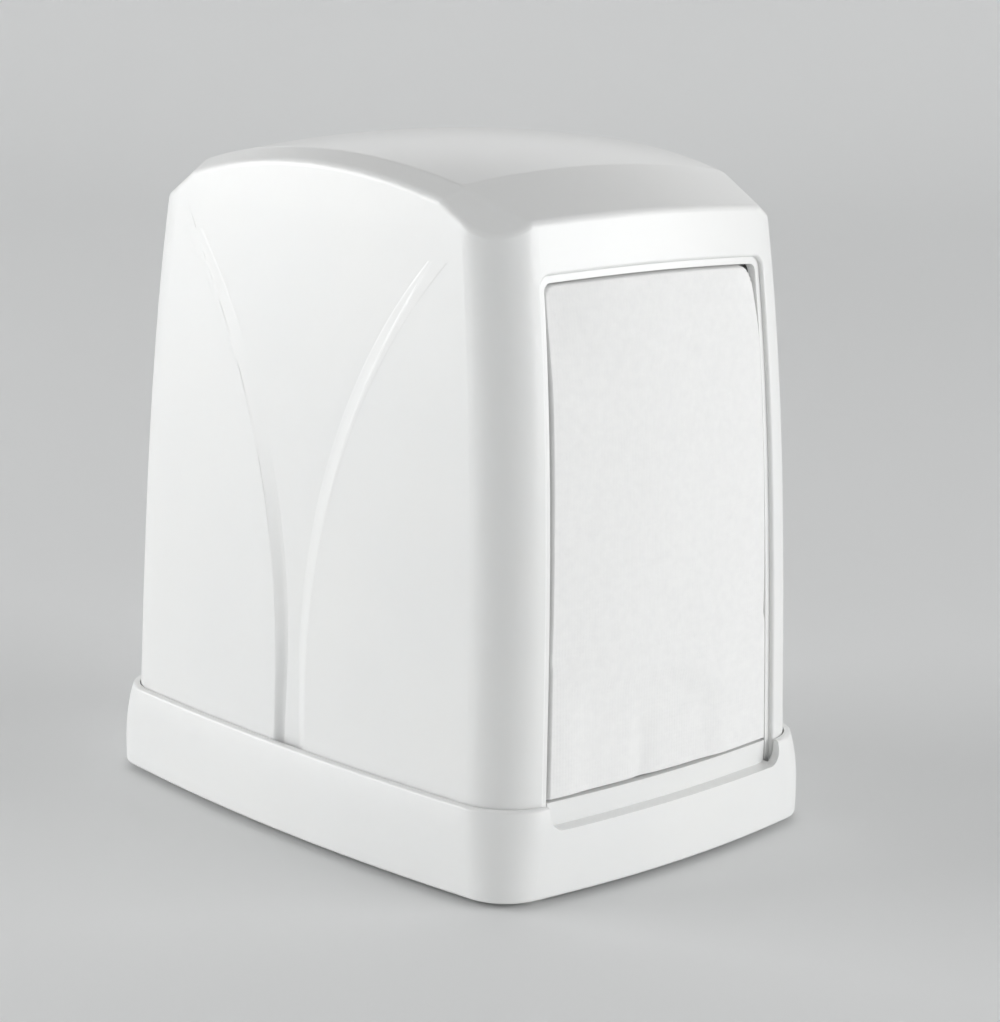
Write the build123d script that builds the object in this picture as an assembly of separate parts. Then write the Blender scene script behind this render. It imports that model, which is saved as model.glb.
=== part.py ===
from build123d import *
import math
import os

os.makedirs("parts", exist_ok=True)

# Tabletop napkin dispenser: a lift-off cover over a base, with a sprung stack behind each window.
# Millimetres. X runs across the narrow window faces, Y along the long sides, Z up from the table.
# The origin is on the table, under the middle of the base.

# Napkins, folded to stand upright
napkin_width = 80.0
napkin_height = 122.5
napkin_sheet = 0.8
napkin_gap = 0.3

# Cover outline, measured where it enters the base
side_room = 10.5
cover_depth = 138.8
wall = 2.0
corner_radius = 12.5
side_bow = 3.2
front_bow = 3.3

# How the cover's walls close in above the rim: a straight draft, and a curl that grows with height
side_draft = 1.33
side_curl = 0.4
front_draft = 1.52
front_curl = 3.3
curl_rise = 101.0
curl_power = 3.0

# Roof of the cover: its crown, a steeper brow at each end, a shoulder along each side, a facet at each corner
headroom = 21.4
crown_side_radius = 173.5
crown_front_radius = 310.0
brow_inset = 27.3
brow_angle = 9.7
shoulder_inset = 8.7
shoulder_angle = 21.4
shoulder_side_radius = 151.0
facet_lift = 4.3
facet_slope = 43.7
facet_heading = 42.1
roof_round = 2.0

# Window in each narrow face, with a step all round it
window_cover = 5.8
window_drop = 3.0
window_arch = 0.9
window_flare = 1.3
window_corner = 2.6
step_depth = 1.0
ledge = 1.5
window_roll = 0.6
frame_margin = 2.6

# Hollow that rises and spreads up each long side, deepest at the rim and fading out under the roof
flute_half_width = 5.6
flute_bend_height = 36.0
flute_bend_radius = 140.0
flute_spread = 36.0
flute_depth = 1.3
flute_fade_drop = 16.2
flute_side_angle = 30.0

# Base
rim_height = 21.0
rim_lip = 1.6
base_flare = 3.2
base_bow = 1.2
base_corner = 11.0
base_bottom = 1.4
base_edge = 0.7
skirt = 2.2
deck_height = 9.0
deck_thick = 2.0
cover_gap = 0.3
sill_drop = 0.1
sill_wall = 2.0
recess_depth = 5.3
recess_corner = 3.5
rib_thick = 1.6
rib_spacing = 28.0
rib_lift = 1.2
lug_length = 14.0
lug_height = 9.0
lug_thick = 2.0
lug_offset = 36.0

# Rubber feet
foot_diameter = 9.0
foot_side_room = 5.1
foot_end_room = 0.7
foot_flange = 0.8
foot_edge = 0.5
stem_diameter = 4.8
stem_length = 4.4
boss_wall = 1.8
pin_gap = 0.05

# Rails and the shoes that run on them
rail_x = 24.0
rail_stem = 2.0
rail_head_width = 5.0
rail_head_thick = 1.3
rail_height = 3.0
rail_inner_end = 9.0
rail_stop = 1.5
slide_gap = 0.35
shoe_length = 15.0
shoe_wall = 1.8

# Pusher plates
pusher_rest = 26.7
last_napkins = 4.0
plate_side_room = 3.0
plate_top_drop = 7.8
plate_thick = 2.2
plate_corner = 6.0
plate_rib_depth = 4.0
plate_rib_inset = 6.0

# Spring tower
tower_width = 34.0
tower_web = 3.0
tower_flange = 2.4
tower_depth = 10.0
tower_top_drop = 9.0
tower_edge = 0.9
tower_foot_depth = 17.0
tower_foot_thick = 3.0
tower_foot_corner = 2.5
tower_window = 20.0
tower_window_corner = 4.0
screw_x = 12.0
screw_thread = 3.0
screw_head = 6.0
screw_head_height = 2.0
screw_length = 9.0
screw_boss = 7.0

# Springs, and the spigots and seats that hold their ends
spring_mean = 13.0
spring_wire = 1.0
spring_turns = 7
spring_low_rise = 33.0
spring_high_drop = 22.0
spring_end_gap = 0.3
spigot_room = 0.5
spigot_length = 4.0
spigot_edge = 0.8
cup_margin = 1.75
cup_depth = 1.6

# Values that follow from those above
rail_top = deck_height + rail_height
napkin_bottom = rail_top + napkin_gap
napkin_top = napkin_bottom + napkin_height
cover_width = napkin_width + 2 * side_room
cover_bottom = deck_height + cover_gap
crown_height = napkin_top + headroom
brow_start = cover_depth / 2 - brow_inset
shoulder_start = cover_width / 2 - shoulder_inset
facet_height = napkin_top + facet_lift
window_width = napkin_width - 2 * window_cover
window_top = napkin_top - window_drop
frame_inset = wall + step_depth
flute_fade_height = crown_height - flute_fade_drop
under_deck = deck_height - deck_thick
sill_height = rim_height - sill_drop
recess_bottom = rim_height - recess_depth
foot_seat = base_bottom + foot_flange
stack_front = cover_depth / 2 - frame_inset - 2 * napkin_gap - napkin_sheet
pusher_travel = stack_front - napkin_gap - pusher_rest - last_napkins
plate_top = napkin_top - plate_top_drop
plate_width = napkin_width - 2 * plate_side_room
tower_top = plate_top - tower_top_drop
spring_low = deck_height + spring_low_rise
spring_high = tower_top - spring_high_drop
spigot_diameter = spring_mean - spring_wire - 2 * spigot_room
cup_diameter = spring_mean + spring_wire + 2 * cup_margin


def half_sizes(height):
    """Half width and half depth of the cover's outside at a height above the table."""
    rise = max(height - rim_height, 0.0)
    curl = (rise / curl_rise) ** curl_power
    half_x = cover_width / 2 - rise * math.tan(math.radians(side_draft)) - side_curl * curl
    half_y = cover_depth / 2 - rise * math.tan(math.radians(front_draft)) - front_curl * curl
    return half_x, half_y


def plan_outline(half_x, half_y, corner, extra_bow=0.0):
    """Rounded rectangle whose four sides bow outwards."""
    end_x = half_x - side_bow - extra_bow
    end_y = half_y - front_bow - extra_bow
    sides = [
        ThreePointArc((end_x, -end_y), (half_x, 0), (end_x, end_y)),
        ThreePointArc((end_x, end_y), (0, half_y), (-end_x, end_y)),
        ThreePointArc((-end_x, end_y), (-half_x, 0), (-end_x, -end_y)),
        ThreePointArc((-end_x, -end_y), (0, -half_y), (end_x, -end_y)),
    ]
    face = make_face(sides)
    return fillet(face.vertices(), corner)


def cover_plan(inset):
    """Plan of the cover at the rim, moved inwards by an inset."""
    half_x, half_y = half_sizes(rim_height)
    return plan_outline(half_x - inset, half_y - inset, corner_radius - inset)


def cover_walls(inset, low, hollow=0.0):
    """Block inside the cover's drafted and curving walls, without its roof.

    A hollow sets the long sides further in at the rim, and fades out at the flute's top.
    """
    top = crown_height + 12
    sections = []
    for share in (0, 0.25, 0.5, 0.75, 1):
        level = rim_height + (top - rim_height) * share
        fade = (flute_fade_height - level) / (flute_fade_height - rim_height)
        half_x, half_y = half_sizes(level)
        outline = plan_outline(half_x - inset - hollow * fade, half_y - inset, corner_radius - inset)
        sections.append(Pos(0, 0, level) * outline)
    skirt_part = extrude(Pos(0, 0, low - rim_height) * sections[0], rim_height - low)
    return skirt_part + loft(sections)


def crown_cutter(inset):
    """What lies above the crown: its long arc and the steeper brow at each end, swung across the width."""
    top = crown_height - inset
    radius = crown_side_radius - inset
    fold = math.asin(brow_start / crown_side_radius)
    fold_y = radius * math.sin(fold)
    fold_z = top - radius * (1 - math.cos(fold))
    slope = fold + math.radians(brow_angle)
    reach = cover_depth / 2
    edge_y = fold_y + reach
    edge_z = fold_z - reach * math.tan(slope)
    lid = top + reach
    arc = ThreePointArc((-fold_y, fold_z), (0, top), (fold_y, fold_z))
    rest = Polyline(
        (fold_y, fold_z),
        (edge_y, edge_z),
        (edge_y, lid),
        (-edge_y, lid),
        (-edge_y, edge_z),
        (-fold_y, fold_z),
    )
    profile = Plane.YZ * make_face([arc, rest])
    hinge = Axis((0, 0, crown_height - crown_front_radius), (0, 1, 0))
    swing = math.degrees(math.asin(cover_width / crown_front_radius))
    return revolve(profile.rotate(hinge, -swing), hinge, 2 * swing)


def shoulder_cutter(inset):
    """What lies above the steeper shoulder along one long side, swung along the crown's long arc."""
    lean = math.asin(shoulder_start / crown_front_radius)
    start_z = crown_height - crown_front_radius * (1 - math.cos(lean))
    slope = lean + math.radians(shoulder_angle)
    start_z = start_z - inset / math.cos(slope)
    reach = cover_width / 4
    inner = (shoulder_start - reach, start_z + reach * math.tan(slope))
    outer = (shoulder_start + reach, start_z - reach * math.tan(slope))
    lid = crown_height + reach
    profile = Plane.XZ * make_face(Polyline(inner, outer, (outer[0], lid), (inner[0], lid), inner))
    hinge = Axis((0, 0, crown_height - shoulder_side_radius), (1, 0, 0))
    swing = math.degrees(math.asin(0.5 * cover_depth / shoulder_side_radius)) + 10
    return revolve(profile.rotate(hinge, -swing), hinge, 2 * swing)


def facet_cutter(inset):
    """What lies outside the sloping facet at one corner of the roof."""
    half_x, half_y = half_sizes(facet_height)
    heading = math.radians(facet_heading)
    slope = math.radians(facet_slope)
    bow_share = 0.6
    centre_x = half_x - bow_share * side_bow - corner_radius
    centre_y = half_y - bow_share * front_bow - corner_radius
    outwards = Vector(math.cos(heading), math.sin(heading), 0)
    along = Vector(-math.sin(heading), math.cos(heading), 0)
    point = Vector(centre_x, centre_y, facet_height) + outwards * corner_radius
    normal = outwards * math.sin(slope) + Vector(0, 0, math.cos(slope))
    plane = Plane(origin=point - normal * inset, x_dir=along, z_dir=normal)
    size = cover_width * 0.8
    return plane * Box(size, size, size, align=(Align.CENTER, Align.CENTER, Align.MIN))


def flute_outline(half):
    """Outline of the flute seen from the side: straight at the foot, then two curves that spread."""
    bend = math.radians(flute_spread)
    curve_y = half + flute_bend_radius * (1 - math.cos(bend))
    curve_z = flute_bend_height + flute_bend_radius * math.sin(bend)
    mid_y = half + flute_bend_radius * (1 - math.cos(bend / 2))
    mid_z = flute_bend_height + flute_bend_radius * math.sin(bend / 2)
    top_z = crown_height
    top_y = curve_y + (top_z - curve_z) * math.tan(bend)
    edges = [Line((-half, 0), (half, 0)), Line((-top_y, top_z), (top_y, top_z))]
    for side in (1, -1):
        edges.append(Line((side * half, 0), (side * half, flute_bend_height)))
        edges.append(
            ThreePointArc((side * half, flute_bend_height), (side * mid_y, mid_z), (side * curve_y, curve_z))
        )
        edges.append(Line((side * curve_y, curve_z), (side * top_y, top_z)))
    return make_face(edges)


def flute_cutter(inset):
    """What the flute takes from one long side: its slanting sides run in to a floor that fades out."""
    slant = math.tan(math.radians(flute_side_angle))
    outside = 1.0
    half = flute_half_width + slant * (inset + outside)
    start = Plane(origin=(cover_width / 2 - inset + outside, 0, 0), x_dir=(0, -1, 0), z_dir=(-1, 0, 0))
    prism = extrude(start * flute_outline(half), 0.8 * half / slant, taper=flute_side_angle)
    return prism - cover_walls(inset, -1, flute_depth)


def cover_form(inset):
    """The cover's outside with its roof creases rounded, or its hollow when an inset is given."""
    form = cover_walls(inset, base_bottom if inset else cover_bottom)
    form -= crown_cutter(inset)
    for cutter in (shoulder_cutter(inset), facet_cutter(inset)):
        rear_left = mirror(cutter, Plane.YZ)
        form -= [cutter, rear_left, mirror(cutter, Plane.XZ), mirror(rear_left, Plane.XZ)]
    if not inset:
        creases = form.edges().filter_by(lambda edge: (edge @ 0.5).Z > facet_height - roof_round)
        form = fillet(creases, roof_round)
    flute = flute_cutter(inset)
    return form - [flute, mirror(flute, Plane.YZ)]


def window_prism(margin, low, low_corner=0.0):
    """The window's outline run through both narrow faces, drawn in by a margin."""
    top = window_top - margin
    shoulder = top - window_arch
    half_top = window_width / 2 - margin
    half_low = half_top + (shoulder - low) * math.tan(math.radians(window_flare))
    edges = [
        Polyline((-half_top, shoulder), (-half_low, low), (half_low, low), (half_top, shoulder)),
        ThreePointArc((half_top, shoulder), (0, top), (-half_top, shoulder)),
    ]
    face = make_face(edges)
    upper = face.vertices().sort_by(Axis.Y)[-2:]
    face = fillet(upper, max(window_corner - margin / 2, 0.8))
    if low_corner:
        face = fillet(face.vertices().sort_by(Axis.Y)[:2], low_corner)
    return extrude(Plane.XZ * face, cover_depth, both=True)


def is_window_rim(edge):
    """Whether an edge of the cover's outside borders a window's step, out on the narrow face itself."""
    middle = edge @ 0.5
    half_x, half_y = half_sizes(middle.Z)
    face_y = half_y - front_bow * (middle.X / (half_x - side_bow)) ** 2
    in_window = abs(middle.X) < half_x - corner_radius and cover_bottom < middle.Z < window_top + 1
    return in_window and abs(abs(middle.Y) - face_y) < step_depth / 3


def make_cover():
    """One moulded shell with a stepped window in each narrow face, thicker round the windows."""
    outside = cover_form(0)
    outside -= window_prism(0, base_bottom) - cover_walls(step_depth, base_bottom)
    outside = fillet(outside.edges().filter_by(is_window_rim), min(window_roll, 0.8 * step_depth))
    shell = outside - cover_form(wall)
    frame = window_prism(-frame_margin, cover_bottom) & cover_walls(wall, cover_bottom)
    shell += frame - cover_walls(frame_inset, base_bottom)
    shell -= window_prism(ledge, base_bottom)
    return shell


def base_form(inset, low, high):
    """The base's outside, fullest near the table and closing in towards the rim."""
    sections = []
    for share in (0, 0.4, 0.7, 1):
        level = low + (high - low) * share
        rise = (level - base_bottom) / (rim_height - base_bottom)
        flare = base_flare - (base_flare - rim_lip) * rise ** 3 - inset
        corner = base_corner + (corner_radius + rim_lip - base_corner) * rise - inset
        bow = base_bow * (1 - rise)
        outline = plan_outline(cover_width / 2 + flare, cover_depth / 2 + flare, corner, bow)
        sections.append(Pos(0, 0, level) * outline)
    return loft(sections)


def upright_box(width, depth, height):
    """Box that stands on the working plane, centred over its origin."""
    return Box(width, depth, height, align=(Align.CENTER, Align.CENTER, Align.MIN))


def upright_cylinder(diameter, height):
    return Cylinder(diameter / 2, height, align=(Align.CENTER, Align.CENTER, Align.MIN))


def sill_half_width():
    """Half the width that the window leaves free for the sill, down inside the base."""
    shoulder = window_top - ledge - window_arch
    half_low = window_width / 2 - ledge + (shoulder - sill_height) * math.tan(math.radians(window_flare))
    return half_low - cover_gap


def make_sills(outside):
    """Front and rear sills: low walls that close the window's foot, standing flush with its step."""
    band = upright_box(2 * sill_half_width(), 2 * cover_depth, sill_height - deck_height)
    middle = extrude(Pos(0, 0, deck_height) * cover_plan(step_depth + sill_wall), rim_height)
    return ((Pos(0, 0, deck_height) * band) & outside) - middle


def make_rail(side, end):
    """One T-shaped rail on the deck, from beside the tower to its end stop by the sill."""
    reach = plate_face(rail_top) + pusher_travel + napkin_gap
    length = reach - rail_inner_end
    stem = Box(rail_stem, length, rail_height, align=(Align.CENTER, Align.MIN, Align.MIN))
    head = Pos(0, 0, rail_height - rail_head_thick) * Box(
        rail_head_width, length, rail_head_thick, align=(Align.CENTER, Align.MIN, Align.MIN)
    )
    stop = Pos(0, length, 0) * Box(
        rail_head_width + 2 * shoe_wall, rail_stop, rail_height, align=(Align.CENTER, Align.MIN, Align.MIN)
    )
    rail = Pos(side * rail_x, rail_inner_end, deck_height) * (stem + head + stop)
    return rail if end > 0 else mirror(rail, Plane.XZ)


def make_lugs():
    """Four upright lugs on the deck that locate the cover from inside."""
    lugs = []
    for side in (1, -1):
        for end in (1, -1):
            half_x, half_y = half_sizes(rim_height)
            drop = side_bow * ((lug_offset + lug_length / 2) / (half_y - front_bow)) ** 2
            outer = half_x - wall - cover_gap - drop
            lug = Box(lug_thick, lug_length, lug_height, align=(Align.MAX, Align.CENTER, Align.MIN))
            lug = fillet(lug.edges().filter_by(Axis.Z), lug_thick / 3)
            if side < 0:
                lug = mirror(lug, Plane.YZ)
            lugs.append(Pos(side * outer, end * lug_offset, deck_height) * lug)
    return lugs


def make_underside_ribs(hollow):
    """Grid of ribs under the deck, a little higher than the skirt's edge."""
    ribs = []
    for place in (-1.5, -0.5, 0.5, 1.5):
        ribs.append(Pos(0, place * rib_spacing, 0) * Box(2 * cover_width, rib_thick, 2 * under_deck))
    for place in (-1, 1):
        ribs.append(Pos(place * rail_x, 0, 0) * Box(rib_thick, 2 * cover_depth, 2 * under_deck))
    floor = Box(2 * cover_width, 2 * cover_depth, 2 * (base_bottom + rib_lift))
    return [(rib & hollow) - floor for rib in ribs]


def make_base():
    """Tray that the cover stands in: rim, deck, sills, rails, lugs, and ribs and bosses underneath."""
    outside = base_form(0, base_bottom, rim_height)
    rim_edges = outside.edges().group_by(Axis.Z)
    outside = fillet(rim_edges[0] + rim_edges[-1], base_edge)
    base = outside - extrude(Pos(0, 0, deck_height) * cover_plan(-cover_gap), rim_height)
    hollow = base_form(skirt, base_bottom, rim_height)
    hollow &= Box(2 * cover_width, 2 * cover_depth, 2 * under_deck)
    flare = base_flare - skirt
    mouth = plan_outline(cover_width / 2 + flare, cover_depth / 2 + flare, base_corner - skirt, base_bow)
    base -= hollow + extrude(Pos(0, 0, -1) * mouth, base_bottom + 1)
    for rib in make_underside_ribs(hollow):
        base += rib
    base += make_sills(outside)
    recess = window_prism(0, recess_bottom, recess_corner)
    base -= recess - extrude(cover_plan(step_depth), 2 * crown_height)
    boss = Pos(0, 0, foot_seat) * upright_cylinder(stem_diameter + 2 * boss_wall, under_deck - foot_seat)
    hole = Pos(0, 0, foot_seat) * upright_cylinder(stem_diameter + 2 * pin_gap, stem_length + slide_gap)
    for side in (1, -1):
        for end in (1, -1):
            base += make_rail(side, end)
            base += foot_place(side, end) * boss
            base -= foot_place(side, end) * hole
        base -= Pos(side * screw_x, 0, 0) * Cylinder(screw_thread / 2 + pin_gap, 4 * deck_height)
        base -= Pos(side * screw_x, 0, 0) * Cylinder(screw_head / 2 + slide_gap, 2 * under_deck)
    base += make_lugs()
    return base


def foot_place(side, end):
    """Where a foot stands: beside the corner, just clear of the skirt's inner face."""
    half_x = cover_width / 2 + base_flare - skirt
    half_y = cover_depth / 2 + base_flare - skirt
    straight_x = half_x - side_bow - base_bow
    foot_x = straight_x - foot_side_room - foot_diameter / 2
    fall_back = (front_bow + base_bow) * (foot_x / straight_x) ** 2
    foot_y = half_y - fall_back - foot_end_room - foot_diameter / 2
    return Pos(side * foot_x, end * foot_y, 0)


def make_foot(side, end):
    """Rubber foot: a round pad with a stem that is pushed up into its boss."""
    pad = upright_cylinder(foot_diameter, foot_seat)
    pad = fillet(pad.edges().sort_by(Axis.Z)[0], foot_edge)
    stem = Pos(0, 0, foot_seat) * upright_cylinder(stem_diameter, stem_length)
    return foot_place(side, end) * (pad + stem)


def window_lean():
    """Lean of the narrow faces between the sill and the top of the window, in radians."""
    low_y = half_sizes(sill_height)[1]
    high_y = half_sizes(window_top)[1]
    return math.atan((low_y - high_y) / (window_top - sill_height))


def plate_face(height):
    """Distance from the middle to the front of a pusher plate at a height, at rest."""
    return pusher_rest - (height - sill_height) * math.tan(window_lean())


def cup_face(height):
    """Distance from the middle to the flat seat of the spring on a pusher, at rest."""
    return plate_face(height + cup_diameter / 2) - plate_thick - cup_depth


def spring_seat(height):
    """Round seat on the back of a pusher, with the spigot that a spring's end slips over."""
    back = plate_face(height) - plate_thick / 2
    seat = upright_cylinder(cup_diameter, back - cup_face(height))
    spigot = Cylinder(spigot_diameter / 2, spigot_length, align=(Align.CENTER, Align.CENTER, Align.MAX))
    spigot = chamfer(spigot.edges().sort_by(Axis.Z)[0], spigot_edge)
    return Pos(0, cup_face(height), height) * Rot(-90, 0, 0) * (seat + spigot)


def make_pusher():
    """Rear pusher: a leaning plate with ribs, spring seats and two shoes that hook on the rails."""
    low = rail_top + slide_gap
    front_low, front_high = plate_face(low), plate_face(plate_top)
    side_view = Polyline(
        (front_low, low),
        (front_high, plate_top),
        (front_high - plate_thick, plate_top),
        (front_low - plate_thick, low),
        (front_low, low),
    )
    plate = extrude(Plane.YZ * make_face(side_view), plate_width / 2, both=True)
    upper = plate.edges().filter_by(lambda e: e.length < 1.05 * plate_thick).sort_by(Axis.Z)[-2:]
    plate = fillet(upper, plate_corner)
    for height in (spring_low, spring_high):
        plate += spring_seat(height)
    rib_view = Polyline(
        (front_low - plate_thick / 2, low),
        (front_high - plate_thick / 2, plate_top - plate_corner),
        (front_high - plate_thick, plate_top - plate_corner),
        (front_low - plate_thick - plate_rib_depth, low),
        (front_low - plate_thick / 2, low),
    )
    for side in (1, -1):
        rib = extrude(Plane.YZ * make_face(rib_view), rib_thick / 2, both=True)
        plate += Pos(side * (plate_width / 2 - plate_rib_inset), 0, 0) * rib
    beam_back = front_low - shoe_length
    beam = Pos(0, front_low - plate_thick, low) * Box(
        2 * rail_x, plate_rib_depth, shoe_wall, align=(Align.CENTER, Align.MAX, Align.MIN)
    )
    plate += beam
    head_low = rail_top - rail_head_thick - slide_gap
    foot_z = deck_height + slide_gap
    head_width = rail_head_width + 2 * slide_gap
    shoe_height = low + shoe_wall - foot_z
    shoe = Pos(0, front_low, foot_z) * Box(
        head_width + 2 * shoe_wall, shoe_length, shoe_height, align=(Align.CENTER, Align.MAX, Align.MIN)
    )
    shoe -= Pos(0, beam_back, head_low) * upright_box(head_width, 4 * shoe_length, low - head_low)
    shoe -= Pos(0, beam_back, 0) * upright_box(rail_stem + 2 * slide_gap, 4 * shoe_length, low)
    for side in (1, -1):
        plate += Pos(side * rail_x, 0, 0) * shoe
    return plate


def make_tower():
    """Spring tower: an H-shaped post with a spigot for each spring and a foot screwed to the deck."""
    low = deck_height
    height = tower_top - low
    post = Pos(0, 0, low) * upright_box(tower_width, tower_web, height)
    flange = upright_box(tower_flange, tower_depth, height)
    for side in (1, -1):
        post += Pos(side * (tower_width - tower_flange) / 2, 0, low) * flange
    post = chamfer(post.edges().filter_by(Axis.Y).sort_by(Axis.Z)[-4:], tower_edge)
    foot = Pos(0, 0, low) * upright_box(tower_width, tower_foot_depth, tower_foot_thick)
    post += fillet(foot.edges().filter_by(Axis.Z), tower_foot_corner)
    middle = (spring_low + spring_high) / 2
    slot_height = spring_high - spring_low - 2 * cup_diameter
    slot = Pos(0, 0, middle) * Box(tower_window, 2 * tower_web, slot_height)
    post -= fillet(slot.edges().filter_by(Axis.Y), min(tower_window_corner, slot_height / 3))
    bore = upright_cylinder(screw_thread + 2 * pin_gap, screw_length - deck_thick + pin_gap)
    for side in (1, -1):
        post += Pos(side * screw_x, 0, low) * upright_cylinder(screw_boss, screw_length)
        post -= Pos(side * screw_x, 0, low) * bore
    for spring_z in (spring_low, spring_high):
        spigot = Cylinder(spigot_diameter / 2, tower_web + 2 * spigot_length)
        spigot = chamfer(spigot.edges().filter_by(GeomType.CIRCLE), spigot_edge)
        post += Pos(0, 0, spring_z) * Rot(90, 0, 0) * spigot
    return post


def make_tower_screws():
    """Two pan-head screws driven up through the deck, each with a cross recess in its head."""
    head = Cylinder(screw_head / 2, screw_head_height, align=(Align.CENTER, Align.CENTER, Align.MAX))
    head = fillet(head.edges().sort_by(Axis.Z)[0], 0.4 * screw_head_height)
    arm = screw_head * 0.53
    slot = arm / 4
    cross = Box(arm, slot, screw_head_height) + Box(slot, arm, screw_head_height)
    screw = head - Pos(0, 0, -screw_head_height) * cross + upright_cylinder(screw_thread, screw_length)
    return [Pos(side * screw_x, 0, under_deck) * screw for side in (1, -1)]


def helix_point(turn, start, rise):
    angle = 2 * math.pi * turn
    return Vector(spring_mean / 2 * math.cos(angle), spring_mean / 2 * math.sin(angle), start + rise * turn)


def helix_heading(turn, rise):
    angle = 2 * math.pi * turn
    across = math.pi * spring_mean
    return Vector(-across * math.sin(angle), across * math.cos(angle), rise).normalized()


def biarc(first, first_way, last, last_way):
    """Two arcs that leave one point and reach another in given directions, and meet smoothly."""
    gap = last - first
    ways = first_way + last_way
    a = 2 * (1 - first_way.dot(last_way))
    b = gap.dot(ways)
    reach = (-b + math.sqrt(b * b + a * gap.dot(gap))) / a
    meet = (first + first_way * reach + last - last_way * reach) * 0.5
    opening = Edge.make_tangent_arc(first, first_way, meet)
    closing_way = opening % 1
    return [opening, Edge.make_tangent_arc(meet, closing_way, last)]


def make_spring(length):
    """Compression spring along +Z from zero: one unbroken wire wound on quarter-turn arcs."""
    rise = (length - spring_wire) / spring_turns
    start = spring_wire / 2
    edges = []
    for half_turn in range(2 * spring_turns):
        a, b = half_turn / 2, (half_turn + 1) / 2
        first, last = helix_point(a, start, rise), helix_point(b, start, rise)
        edges += biarc(first, helix_heading(a, rise), last, helix_heading(b, rise))
    path = Wire(edges)
    section = Plane(origin=path @ 0, z_dir=path % 0) * Circle(spring_wire / 2)
    return sweep(section, path=path)


def least_coil_gap(length):
    """Smallest clear distance between neighbouring turns, measured on points along the wire."""
    rise = (length - spring_wire) / spring_turns
    points = [helix_point(step / 24, 0, rise) for step in range(24 * spring_turns + 1)]
    least = length
    for index, point in enumerate(points):
        for other in points[index + 13:]:
            least = min(least, (point - other).length)
    return least - spring_wire


def spring_length(height):
    return cup_face(height) - tower_web / 2 - 2 * spring_end_gap


def place_spring(height, end):
    """A spring between the tower and the rear pusher, or its mirror image at the front."""
    place = Pos(0, tower_web / 2 + spring_end_gap, height)
    spring = place * Rot(-90, 0, 0) * make_spring(spring_length(height))
    return spring if end > 0 else mirror(spring, Plane.XZ)


def paper_block(inset):
    """Everything inside the cover's walls at an inset, as wide and as tall as a folded napkin."""
    sheet = Pos(0, 0, napkin_bottom) * upright_box(napkin_width, 2 * cover_depth, napkin_height)
    rear = Pos(0, cover_depth / 2, 0) * Box(2 * cover_width, cover_depth, 4 * crown_height)
    return sheet & cover_walls(inset, base_bottom) & rear


def make_outer_napkin():
    """The sheet that shows in the rear window, pressed against the inside of the frame."""
    inset = frame_inset + napkin_gap
    outer = paper_block(inset)
    return outer - cover_walls(inset + napkin_sheet, base_bottom)


def make_stack():
    """The rest of the rear stack, from the outer sheet back to the pusher plate."""
    block = paper_block(frame_inset + 2 * napkin_gap + napkin_sheet)
    low = napkin_bottom - 1
    high = napkin_top + 1
    back_low = plate_face(low) + napkin_gap
    back_high = plate_face(high) + napkin_gap
    behind = Polyline((-1, low), (back_low, low), (back_high, high), (-1, high), (-1, low))
    return block - extrude(Plane.YZ * make_face(behind), cover_width, both=True)


parts = {}
parts["base"] = make_base()
parts["cover"] = make_cover()
for end, end_name in ((-1, "front"), (1, "rear")):
    for side, side_name in ((-1, "left"), (1, "right")):
        parts[f"foot_{end_name}_{side_name}"] = make_foot(side, end)
parts["spring_tower"] = make_tower()
parts["tower_screws"] = Compound(children=make_tower_screws())
rear_pieces = {"pusher": make_pusher(), "napkin_stack": make_stack(), "outer_napkin": make_outer_napkin()}
for name, piece in rear_pieces.items():
    parts[f"rear_{name}"] = piece
    parts[f"front_{name}"] = mirror(piece, Plane.XZ)
for level_name, height in (("lower", spring_low), ("upper", spring_high)):
    for end, end_name in ((-1, "front"), (1, "rear")):
        parts[f"{end_name}_{level_name}_spring"] = place_spring(height, end)

for name, shape in parts.items():
    export_step(shape, f"parts/{name}.step")

for height in (spring_low, spring_high):
    print("least gap between spring turns:", round(least_coil_gap(spring_length(height)), 2), "mm")
print("window lean:", round(math.degrees(window_lean()), 2), "degrees")
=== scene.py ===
import math
import random

import bpy
from mathutils import Matrix, Vector


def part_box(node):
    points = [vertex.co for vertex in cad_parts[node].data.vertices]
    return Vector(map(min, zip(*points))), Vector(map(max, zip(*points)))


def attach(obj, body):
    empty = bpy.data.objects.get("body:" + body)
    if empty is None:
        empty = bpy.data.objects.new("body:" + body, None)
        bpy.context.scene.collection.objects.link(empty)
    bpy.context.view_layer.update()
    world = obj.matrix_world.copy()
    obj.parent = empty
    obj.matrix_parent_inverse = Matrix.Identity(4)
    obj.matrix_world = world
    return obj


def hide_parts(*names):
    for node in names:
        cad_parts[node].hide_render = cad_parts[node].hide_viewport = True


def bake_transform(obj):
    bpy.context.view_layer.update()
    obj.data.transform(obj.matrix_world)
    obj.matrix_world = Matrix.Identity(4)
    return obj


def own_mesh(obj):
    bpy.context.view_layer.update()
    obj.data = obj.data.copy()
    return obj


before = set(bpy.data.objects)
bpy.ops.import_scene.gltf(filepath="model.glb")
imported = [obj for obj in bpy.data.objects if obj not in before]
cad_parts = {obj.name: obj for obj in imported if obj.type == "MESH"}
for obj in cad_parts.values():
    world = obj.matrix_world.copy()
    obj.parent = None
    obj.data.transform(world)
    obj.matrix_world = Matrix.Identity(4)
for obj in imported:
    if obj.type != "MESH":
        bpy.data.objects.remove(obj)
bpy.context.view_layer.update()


# Cover and base: two thick-walled injection mouldings in white ABS, polished to a satin gloss.
# The eye gets a clean white with soft wide highlights, and a faint unevenness where the wall cooled.

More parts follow.
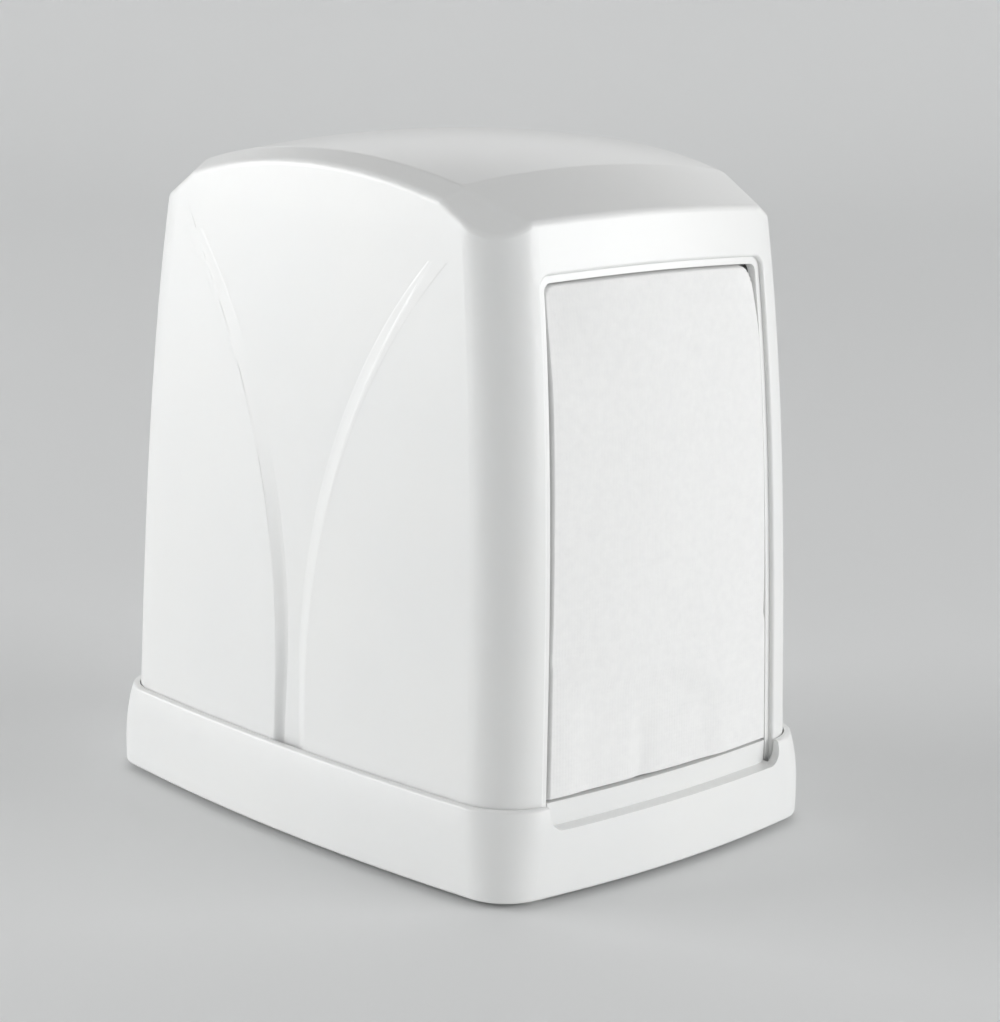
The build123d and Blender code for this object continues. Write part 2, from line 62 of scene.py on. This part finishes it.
def linear(hex_colour):
    """An sRGB hex colour as linear RGBA."""
    shares = [int(hex_colour[i:i + 2], 16) / 255 for i in (1, 3, 5)]
    return [s / 12.92 if s <= 0.04045 else ((s + 0.055) / 1.055) ** 2.4 for s in shares] + [1.0]


def add_node(material, kind, inputs, **settings):
    """A new shader node whose inputs are values or other nodes' outputs."""
    node = material.node_tree.nodes.new(kind)
    for name, value in settings.items():
        setattr(node, name, value)
    for name, value in inputs.items():
        if isinstance(value, bpy.types.NodeSocket):
            material.node_tree.links.new(value, node.inputs[name])
        else:
            node.inputs[name].default_value = value
    return node


def new_material(name, **shader_inputs):
    """A material with a Principled shader, and the point in metres that its patterns are measured from."""
    material = bpy.data.materials.new(name)
    material.use_nodes = True
    shader = material.node_tree.nodes["Principled BSDF"]
    for socket, value in shader_inputs.items():
        shader.inputs[socket.replace("_", " ")].default_value = value
    place = add_node(material, "ShaderNodeTexCoord", {}).outputs["Object"]
    return material, shader, place


def paint(material, *nodes):
    """Gives CAD nodes a material."""
    for node in nodes:
        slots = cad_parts[node].data.materials
        slots.clear()
        slots.append(material)


white_abs, shader, place = new_material(
    "satin_white_abs", Roughness=0.3, IOR=1.53, Subsurface_Weight=0.06, Subsurface_Scale=0.004
)
shader.inputs["Subsurface Radius"].default_value = (1.0, 0.9, 0.8)
cooling = add_node(white_abs, "ShaderNodeTexNoise", {"Vector": place, "Scale": 1 / 0.045, "Detail": 2.0})
tint = add_node(white_abs, "ShaderNodeMix", {"Factor": cooling.outputs["Fac"]}, data_type="RGBA")
tint.inputs[6].default_value = linear("#EEEFEF")
tint.inputs[7].default_value = linear("#F3F3F1")
white_abs.node_tree.links.new(tint.outputs[2], shader.inputs["Base Color"])
gloss = add_node(
    white_abs, "ShaderNodeMapRange", {"Value": cooling.outputs["Fac"], "To Min": 0.27, "To Max": 0.34}
)
white_abs.node_tree.links.new(gloss.outputs["Result"], shader.inputs["Roughness"])
peel = add_node(white_abs, "ShaderNodeTexNoise", {"Vector": place, "Scale": 1 / 0.0011, "Detail": 3.0})
waviness = add_node(white_abs, "ShaderNodeTexNoise", {"Vector": place, "Scale": 1 / 0.014, "Detail": 1.0})
peel_bump = add_node(
    white_abs, "ShaderNodeBump", {"Height": peel.outputs["Fac"], "Strength": 0.25, "Distance": 0.00001}
)
wave_bump = add_node(
    white_abs, "ShaderNodeBump",
    {
        "Height": waviness.outputs["Fac"], "Strength": 0.3, "Distance": 0.00005,
        "Normal": peel_bump.outputs["Normal"],
    }
)
white_abs.node_tree.links.new(wave_bump.outputs["Normal"], shader.inputs["Normal"])
paint(white_abs, "cover", "base")


# Hollow edges: each long side's moulded hollow meets the wall in a soft roll, which catches the light.
# A thin skin of the cover's own plastic, fixed to it, eases the wall down to the floor of the hollow.
hollow_half, bend_height, bend_radius = 0.0056, 0.036, 0.140
roll_low, roll_high, roll_rows, roll_steps = 0.0200, 0.1330, 57, 14
skin_lift, rim_overlap, ray_start = 0.00002, 0.0001, 0.08
soft_edges = (
    {"name": "front", "toward": -1, "foot_width": 0.0040, "widening": 0.0020},
    {"name": "rear", "toward": 1, "foot_width": 0.0026, "widening": 0.0055},
)


def new_mesh(name, points, faces, material):
    """A smooth-shaded mesh object."""
    mesh = bpy.data.meshes.new(name)
    mesh.from_pydata(points, [], faces)
    mesh.shade_smooth()
    mesh.materials.append(material)
    piece = bpy.data.objects.new(name, mesh)
    bpy.context.scene.collection.objects.link(piece)
    return piece


def ease(value, start, end):
    """Rises smoothly from 0 at the start to 1 at the end."""
    share = min(max((value - start) / (end - start), 0.0), 1.0)
    return share * share * (3 - 2 * share)


def hollow_edge(z):
    """Half the width of the hollow, which spreads upwards along an arc."""
    lean = math.asin(max(z - bend_height, 0.0) / bend_radius)
    return hollow_half + bend_radius * (1 - math.cos(lean))


def wall_at(side, y, z):
    """Distance of the cover's outside from the middle, measured on the cover itself."""
    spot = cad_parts["cover"].ray_cast((side * ray_start, y, z), (-side, 0, 0))[1]
    return abs(spot.x)


for side, side_name in ((-1, "left"), (1, "right")):
    for soft_edge in soft_edges:
        toward = soft_edge["toward"]
        points, faces = [], []
        for row in range(roll_rows + 1):
            rise = row / roll_rows
            z = roll_low + (roll_high - roll_low) * rise
            outer_y = hollow_edge(z) + rim_overlap
            inner_y = outer_y - soft_edge["foot_width"] - soft_edge["widening"] * rise
            high_x, low_x = wall_at(side, toward * outer_y, z), wall_at(side, toward * inner_y, z)
            for step in range(roll_steps + 1):
                share = step / roll_steps
                y = toward * (outer_y + (inner_y - outer_y) * share)
                rolled_x = high_x + (low_x - high_x) * ease(share, 0, 1)
                lift = skin_lift if 0 < step < roll_steps else -2 * skin_lift
                points.append((side * (max(rolled_x, wall_at(side, y, z)) + lift), y, z))
        wide = roll_steps + 1
        for row in range(roll_rows):
            for step in range(roll_steps):
                corner = row * wide + step
                face = (corner, corner + 1, corner + 1 + wide, corner + wide)
                faces.append(face if side * toward > 0 else face[::-1])
        edge = new_mesh(f"{side_name}_hollow_{soft_edge['name']}_edge", points, faces, white_abs)
        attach(edge, "cover")


# Pusher plates and spring tower: plain moulded polypropylene, seen only when the cover is off.
# Duller and a little yellower than the cover, with the fine matt grain of an etched mould.
natural_pp, shader, place = new_material("natural_polypropylene", Roughness=0.5, IOR=1.49)
cloud = add_node(natural_pp, "ShaderNodeTexNoise", {"Vector": place, "Scale": 1 / 0.03, "Detail": 3.0})
tint = add_node(natural_pp, "ShaderNodeMix", {"Factor": cloud.outputs["Fac"]}, data_type="RGBA")
tint.inputs[6].default_value = linear("#DDDCD3")
tint.inputs[7].default_value = linear("#E6E5DE")
natural_pp.node_tree.links.new(tint.outputs[2], shader.inputs["Base Color"])
grain = add_node(natural_pp, "ShaderNodeTexNoise", {"Vector": place, "Scale": 1 / 0.0004, "Detail": 2.0})
grain_bump = add_node(
    natural_pp, "ShaderNodeBump", {"Height": grain.outputs["Fac"], "Strength": 0.5, "Distance": 0.00002}
)
natural_pp.node_tree.links.new(grain_bump.outputs["Normal"], shader.inputs["Normal"])
paint(natural_pp, "spring_tower", "front_pusher", "rear_pusher")


# Feet: four pale rubber buttons whose stems press into bosses under the base.
# Matt and slightly dusty, a shade darker than the plastic round them.
pale_rubber, shader, place = new_material("pale_foot_rubber", Roughness=0.75, IOR=1.5)
dust = add_node(pale_rubber, "ShaderNodeTexNoise", {"Vector": place, "Scale": 1 / 0.002, "Detail": 5.0})
tint = add_node(pale_rubber, "ShaderNodeMix", {"Factor": dust.outputs["Fac"]}, data_type="RGBA")
tint.inputs[6].default_value = linear("#C4C4C0")
tint.inputs[7].default_value = linear("#D6D6D2")
pale_rubber.node_tree.links.new(tint.outputs[2], shader.inputs["Base Color"])
dust_bump = add_node(
    pale_rubber, "ShaderNodeBump", {"Height": dust.outputs["Fac"], "Strength": 0.6, "Distance": 0.00005}
)
pale_rubber.node_tree.links.new(dust_bump.outputs["Normal"], shader.inputs["Normal"])
paint(pale_rubber, "foot_front_left", "foot_front_right", "foot_rear_left", "foot_rear_right")


# Screws: two zinc-plated self-tapping screws that hold the tower from under the base.
# Cool grey plate with a faint cloudy bloom.
zinc_plate, shader, place = new_material("zinc_plated_screw", Metallic=1.0, Roughness=0.35)
bloom = add_node(zinc_plate, "ShaderNodeTexNoise", {"Vector": place, "Scale": 1 / 0.0008, "Detail": 4.0})
tint = add_node(zinc_plate, "ShaderNodeMix", {"Factor": bloom.outputs["Fac"]}, data_type="RGBA")
tint.inputs[6].default_value = linear("#9DA0A3")
tint.inputs[7].default_value = linear("#BDBFC0")
zinc_plate.node_tree.links.new(tint.outputs[2], shader.inputs["Base Color"])
paint(zinc_plate, "tower_screws")


# Springs: four compression springs wound from bright drawn wire, between the tower and the pushers.
# The wire keeps fine drawing lines round it, so its highlight breaks up into short streaks.
spring_wire, shader, place = new_material("bright_spring_wire", Metallic=1.0, Roughness=0.24)
lines = add_node(spring_wire, "ShaderNodeTexNoise", {"Vector": place, "Scale": 1 / 0.00035, "Detail": 3.0})
tint = add_node(spring_wire, "ShaderNodeMix", {"Factor": lines.outputs["Fac"]}, data_type="RGBA")
tint.inputs[6].default_value = linear("#A3A5A8")
tint.inputs[7].default_value = linear("#C6C8CA")
spring_wire.node_tree.links.new(tint.outputs[2], shader.inputs["Base Color"])
spring_turns, wire_radius, steps_a_turn, sides = 7, 0.0005, 28, 10
for end in ("front", "rear"):
    for level in ("lower", "upper"):
        node = f"{end}_{level}_spring"
        low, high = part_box(node)
        outward = -1 if end == "front" else 1
        seat_y, tip_y = (high.y, low.y) if end == "front" else (low.y, high.y)
        centre_z = (low.z + high.z) / 2
        mean_radius = (high.x - low.x) / 2 - wire_radius
        run = abs(tip_y - seat_y) - 2 * wire_radius
        points, faces = [], []
        for step in range(spring_turns * steps_a_turn + 1):
            share = step / (spring_turns * steps_a_turn)
            angle = 2 * math.pi * spring_turns * share
            outwards = Vector((math.cos(angle), 0, -math.sin(angle)))
            along = seat_y + outward * (wire_radius + run * share)
            middle = Vector((0, along, centre_z)) + outwards * mean_radius
            for side in range(sides):
                around = 2 * math.pi * side / sides
                offset = outwards * math.cos(around) + Vector((0, 1, 0)) * math.sin(around)
                points.append(middle + offset * wire_radius)
        rings = len(points) // sides
        for ring in range(rings - 1):
            for side in range(sides):
                a, b = ring * sides + side, ring * sides + (side + 1) % sides
                faces.append((a, b, b + sides, a + sides))
        faces.append(tuple(range(sides)))
        faces.append(tuple(range((rings - 1) * sides, rings * sides)))
        spring = new_mesh(f"{node}_wire", points, faces, spring_wire)
        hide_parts(node)
        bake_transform(spring)


# Napkins: white tissue, folded in half both ways, in a stack behind each window with one sheet pressed to it.
# The tissue has a fine woven emboss and a loose crepe, and it drinks light, so its folds read as soft greys.
# The emboss is drawn coarser than the real one, which is too fine to show.
tissue, shader, place = new_material(
    "embossed_white_tissue", Roughness=0.95, Sheen_Weight=0.15, Sheen_Roughness=0.6
)
shader.inputs["Specular IOR Level"].default_value = 0.2
fibres = add_node(tissue, "ShaderNodeTexNoise", {"Vector": place, "Scale": 1 / 0.0018, "Detail": 6.0})
tint = add_node(tissue, "ShaderNodeMix", {"Factor": fibres.outputs["Fac"]}, data_type="RGBA")
tint.inputs[6].default_value = linear("#EDEDED")
tint.inputs[7].default_value = linear("#F6F6F5")
tissue.node_tree.links.new(tint.outputs[2], shader.inputs["Base Color"])
emboss_across, emboss_upward, bands_a_unit = 0.0008, 0.0010, 3.18
across_weave = add_node(
    tissue, "ShaderNodeTexWave",
    {"Vector": place, "Scale": 1 / emboss_across / bands_a_unit,
     "Distortion": 1.6, "Detail": 2.0, "Detail Scale": 3.0},
    bands_direction="X"
)
upward_weave = add_node(
    tissue, "ShaderNodeTexWave",
    {"Vector": place, "Scale": 1 / emboss_upward / bands_a_unit,
     "Distortion": 1.6, "Detail": 2.0, "Detail Scale": 3.0},
    bands_direction="Z"
)
grid = add_node(
    tissue, "ShaderNodeMath",
    {0: across_weave.outputs["Fac"], 1: upward_weave.outputs["Fac"]}, operation="ADD"
)
crepe = add_node(tissue, "ShaderNodeTexNoise", {"Vector": place, "Scale": 1 / 0.0035, "Detail": 5.0})
grid_bump = add_node(
    tissue, "ShaderNodeBump", {"Height": grid.outputs[0], "Strength": 0.35, "Distance": 0.00005}
)
crepe_bump = add_node(
    tissue, "ShaderNodeBump",
    {
        "Height": crepe.outputs["Fac"], "Strength": 0.3, "Distance": 0.0003,
        "Normal": grid_bump.outputs["Normal"],
    }
)
tissue.node_tree.links.new(crepe_bump.outputs["Normal"], shader.inputs["Normal"])

napkin_width, napkin_height, napkin_foot = 0.080, 0.1225, 0.0123
leaf_gap, frame_thick, window_lean = 0.0002, 0.003, math.radians(3.76)
opening_sill, opening_shoulder, opening_arch = 0.0209, 0.1294, 0.0009
opening_half_top, opening_flare = 0.0327, math.radians(1.3)
right_corner, left_corner, face_drop = 0.0046, 0.0026, 0.0002
rim_height, wall_rise, inner_corner, side_inset = 0.021, 0.101, 0.0095, 0.0017
face_half, face_lean, face_curve, face_bow, bow_half = 0.0694, math.radians(1.52), 0.0033, 0.0033, 0.0442
side_half, side_lean, side_curve = 0.0505, math.radians(1.33), 0.0004


def window_side(x, z):
    """Distance from the middle to the inside of the window frame, which bows out and closes in upwards."""
    rise = max(z - rim_height, 0.0)
    curved = (rise / wall_rise) ** 3
    face = face_half - rise * math.tan(face_lean) - face_curve * curved - frame_thick
    bow = face_bow * (x / bow_half) ** 2
    side = side_half - rise * math.tan(side_lean) - side_curve * curved - frame_thick
    beyond = max(abs(x) - (side - side_inset - inner_corner), 0.0)
    return face - bow - (inner_corner - math.sqrt(inner_corner ** 2 - beyond ** 2))


def opening_half(z):
    """Half the width of a window's opening, which widens downwards."""
    return opening_half_top + max(opening_shoulder - z, 0.0) * math.tan(opening_flare)


def opening_top(x):
    """Height of the opening's arched top edge."""
    return opening_shoulder + opening_arch * (1 - (x / opening_half_top) ** 2)


def inside_opening(x, z, corner):
    """How far inside the opening's edge a point is, where the upper corners have a radius."""
    aside, above = abs(x) - (opening_half(z) - corner), z - (opening_top(x) - corner)
    if aside > 0 and above > 0:
        return corner - math.hypot(aside, above)
    return min(corner - aside, corner - above, z - opening_sill)


def bulge(x, z, right, start, end):
    """How far the springs push the napkins into the window, nearly level with the frame's face."""
    corner = right_corner if right > 0 else left_corner
    return (frame_thick - face_drop) * ease(inside_opening(x, z, corner), start, end)


left_fall, right_fall, fold_fall, ripple_depth, dent_depth, pleat_depth = (
    0.0012, 0.0017, 0.0004, 0.00006, 0.0007, 0.0005
)
fold_height, dent_height, pleat_right, pleat_width = 0.0507, 0.0445, -0.0075, 0.0022


def slack(z, right):
    """How far the soft sheet falls back: at its top corners, over the low fold, and in a dent below it."""
    corners = left_fall * ease(-right, 0.018, 0.034) * ease(z, 0.104, 0.131)
    corners += right_fall * ease(right, 0.026, 0.034) * ease(z, 0.112, 0.131)
    over_fold = fold_fall * math.exp(-max(z - fold_height, 0.0) / 0.006) * ease(z, 0.0492, fold_height)
    ripple = ripple_depth * math.sin(right / 0.0055 + 2.2 * math.sin(z / 0.021) + 0.8)
    dent_top = dent_height - 0.006 * ease(right, 0.0, 0.016)
    dent_sides = ease(right, -0.031, -0.022) * (1 - ease(right, 0.011, 0.019))
    dent = dent_depth * ease(dent_top - z, -0.002, 0.003) * dent_sides
    pleat = pleat_depth * math.exp(-((right - pleat_right) / pleat_width) ** 2) * (1 - ease(z, 0.030, 0.040))
    return corners + over_fold + ripple + dent + pleat


def even(low, high, steps):
    """Places at even steps from low to high."""
    return [low + (high - low) * i / steps for i in range(steps + 1)]


def folded_napkin(across, upward, gap):
    """A sheet folded in half sideways and then over the top, as points (x, depth, height) and quads."""
    side_path = [(x, 0.0) for x in across] + [(across[-1] + gap / 2, gap / 2)]
    side_path += [(x, gap) for x in reversed(across)]
    points, faces = [], []
    for row in range(2 * len(upward) + 2):
        for x, within in side_path:
            if row < len(upward):
                depth, up = within, upward[row]
            elif row >= len(upward) + 2:
                depth, up = 3 * gap - within, upward[2 * len(upward) + 1 - row]
            else:
                angle = math.pi * (row - len(upward) + 1) / 3
                radius = 1.5 * gap - within
                depth, up = 1.5 * gap - radius * math.cos(angle), upward[-1] + radius * math.sin(angle)
            points.append((x, depth, up))
    wide = len(side_path)
    for row in range(2 * len(upward) + 1):
        for column in range(wide - 1):
            corner = row * wide + column
            faces.append((corner, corner + 1, corner + 1 + wide, corner + wide))
    return points, faces


# The outer sheet's grid is closest where it turns into the window: its columns keep to the opening's sides
# and its rows to the opening's top and the sill.
turn = (
    0.0030, 0.0020, 0.0014, 0.0010, 0.0008, 0.00065, 0.0005, 0.0004, 0.0003, 0.0002, 0.0, -0.0006, -0.0020
)
grid_half, sheet_half = 0.034, napkin_width / 2 - 0.0003
half_grid = even(0.0016, grid_half - 0.0045, 17) + [grid_half - step for step in turn] + [sheet_half]
across = [-x for x in reversed(half_grid)] + [0.0] + half_grid
upward = even(napkin_foot + 0.0002, opening_sill - 0.0012, 5)
upward += [opening_sill + step for step in reversed(turn[2:-2])]
upward += even(opening_sill + 0.0020, opening_top(0) - 0.0042, 66) + [opening_top(0) - step for step in turn]
upward.append(napkin_foot + napkin_height - 0.0006)

sheet_set_back, stack_set_back, back_at_sill, edge_clearance = 0.00035, 0.0018, 0.0270, 0.0011
stack_sheets = 40
random.seed(7)
for end in ("front", "rear"):
    outward = -1 if end == "front" else 1

    points, faces = folded_napkin(across, upward, leaf_gap)
    placed = []
    for x, depth, up in points:
        arch = (opening_top(0) - opening_top(x)) * ease(up, 0.110, 0.130) * (1 - ease(up, 0.1325, 0.1345))
        z = up - arch
        if abs(x) <= grid_half:
            x *= opening_half(z) / grid_half
        else:
            aside = (abs(x) - grid_half) / (sheet_half - grid_half)
            x = math.copysign(opening_half(z) + (sheet_half - opening_half(z)) * aside, x)
        right = -outward * x
        out = bulge(x, z, right, 0.0003, 0.0008) - slack(z, right)
        placed.append((x, outward * (window_side(x, z) - sheet_set_back - depth + out), z))
    outer = new_mesh(f"{end}_outer_napkin_sheet", placed, faces, tissue)
    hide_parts(f"{end}_outer_napkin")
    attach(outer, "base")

    leaf_across = even(-sheet_half + 0.0003, sheet_half - 0.0003, 20)
    leaf_upward = even(0.0, napkin_height - 0.001, 20)
    placed, stack_faces = [], []
    for sheet in range(stack_sheets):
        aside, lift = random.uniform(-0.0004, 0.0004), random.uniform(0, 0.0007)
        points, faces = folded_napkin(leaf_across, leaf_upward, leaf_gap)
        first = len(placed)
        for x, depth, up in points:
            z = napkin_foot + 0.0001 + up + lift * up / napkin_height
            right = -outward * x
            share = (sheet + 0.15 + 0.7 * depth / (3 * leaf_gap)) / stack_sheets
            front_y = window_side(x, z) - stack_set_back + bulge(x, z, right, 0.003, 0.009) - slack(z, right)
            back_y = back_at_sill - (z - opening_sill) * math.tan(window_lean)
            placed.append((x + aside, outward * (front_y + (back_y - front_y) * share), z))
        stack_faces += [tuple(first + corner for corner in face) for face in faces]
    stack = new_mesh(f"{end}_napkin_stack_sheets", placed, stack_faces, tissue)
    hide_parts(f"{end}_napkin_stack")
    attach(stack, "base")
    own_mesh(stack)


# Floor: a plain pale sweep, flat under the object and curving up into a low wall all round it.
# Its wall stands well behind the lights, so no horizon shows behind the object.
pale_floor, shader, _ = new_material("pale_floor", Roughness=0.6)
shader.inputs["Base Color"].default_value = linear("#EEEFEF")
flat_reach, curve_radius, wall_top, spokes = 1.5, 1.0, 1.6, 96
profile = [(flat_reach * step / 3, 0.0) for step in range(1, 4)]
for step in range(1, 13):
    turned = math.radians(90) * step / 12
    profile.append((flat_reach + curve_radius * math.sin(turned), curve_radius * (1 - math.cos(turned))))
profile.append((flat_reach + curve_radius, wall_top))
points, faces = [(0, 0, 0)], [(0, 1 + spoke, 1 + (spoke + 1) % spokes) for spoke in range(spokes)]
for ring, (reach, z) in enumerate(profile):
    for spoke in range(spokes):
        angle = 2 * math.pi * spoke / spokes
        points.append((reach * math.cos(angle), reach * math.sin(angle), z))
        if ring:
            start = 1 + (ring - 1) * spokes
            inner, beside = start + spoke, start + (spoke + 1) % spokes
            faces.append((inner, inner + spokes, beside + spokes, beside))
floor = new_mesh("floor", points, faces, pale_floor)


# Light: a broad soft box on each side of the camera and set well back, a weak one behind, and a dim room.
# The corner that faces the camera gets the least of all, which shades it from the bright faces beside it.
room = bpy.data.worlds.new("studio_room")
room.use_nodes = True
room.node_tree.nodes["Background"].inputs["Color"].default_value = linear("#FFFFFF")
room.node_tree.nodes["Background"].inputs["Strength"].default_value = 0.27
bpy.context.scene.world = room
bpy.context.scene.view_settings.view_transform = "Standard"
aim = Vector((0, 0, 0.07))
for name, stand, width, height, power in (
    ("left_soft_box", (-1.30, 1.30, 0.50), 1.4, 0.9, 22.5),
    ("right_soft_box", (0.95, -1.55, 0.50), 1.4, 0.9, 20.0),
    ("rear_soft_box", (1.45, 1.45, 1.00), 1.6, 0.8, 3.2),
):
    lamp = bpy.data.lights.new(name, "AREA")
    lamp.shape = "RECTANGLE"
    lamp.size, lamp.size_y = width, height
    lamp.energy = power
    holder = bpy.data.objects.new(name, lamp)
    holder.location = stand
    holder.rotation_mode = "QUATERNION"
    holder.rotation_quaternion = (aim - Vector(stand)).to_track_quat("-Z", "Y")
    bpy.context.scene.collection.objects.link(holder)


# Camera: a long lens about 0.6 m away, a little above the object, looking at the corner between two faces.
lens_mm, sensor_mm = 89.42, 36.0
eye = (-0.3953, -0.4244, 0.1923)
azimuth, elevation, roll = math.radians(-43.943), math.radians(12.101), math.radians(1.214)
back = Vector((
    math.sin(azimuth) * math.cos(elevation), -math.cos(azimuth) * math.cos(elevation), math.sin(elevation)
))
level_right = Vector((math.cos(azimuth), math.sin(azimuth), 0))
level_up = back.cross(level_right)
right = level_right * math.cos(roll) + level_up * math.sin(roll)
up = level_up * math.cos(roll) - level_right * math.sin(roll)
camera_data = bpy.data.cameras.new("camera")
camera_data.lens = lens_mm
camera_data.sensor_width = sensor_mm
camera_data.clip_start = 0.01
camera = bpy.data.objects.new("camera", camera_data)
camera.matrix_world = Matrix.Translation(eye) @ Matrix((right, up, back)).transposed().to_4x4()
bpy.context.scene.collection.objects.link(camera)
bpy.context.scene.camera = camera
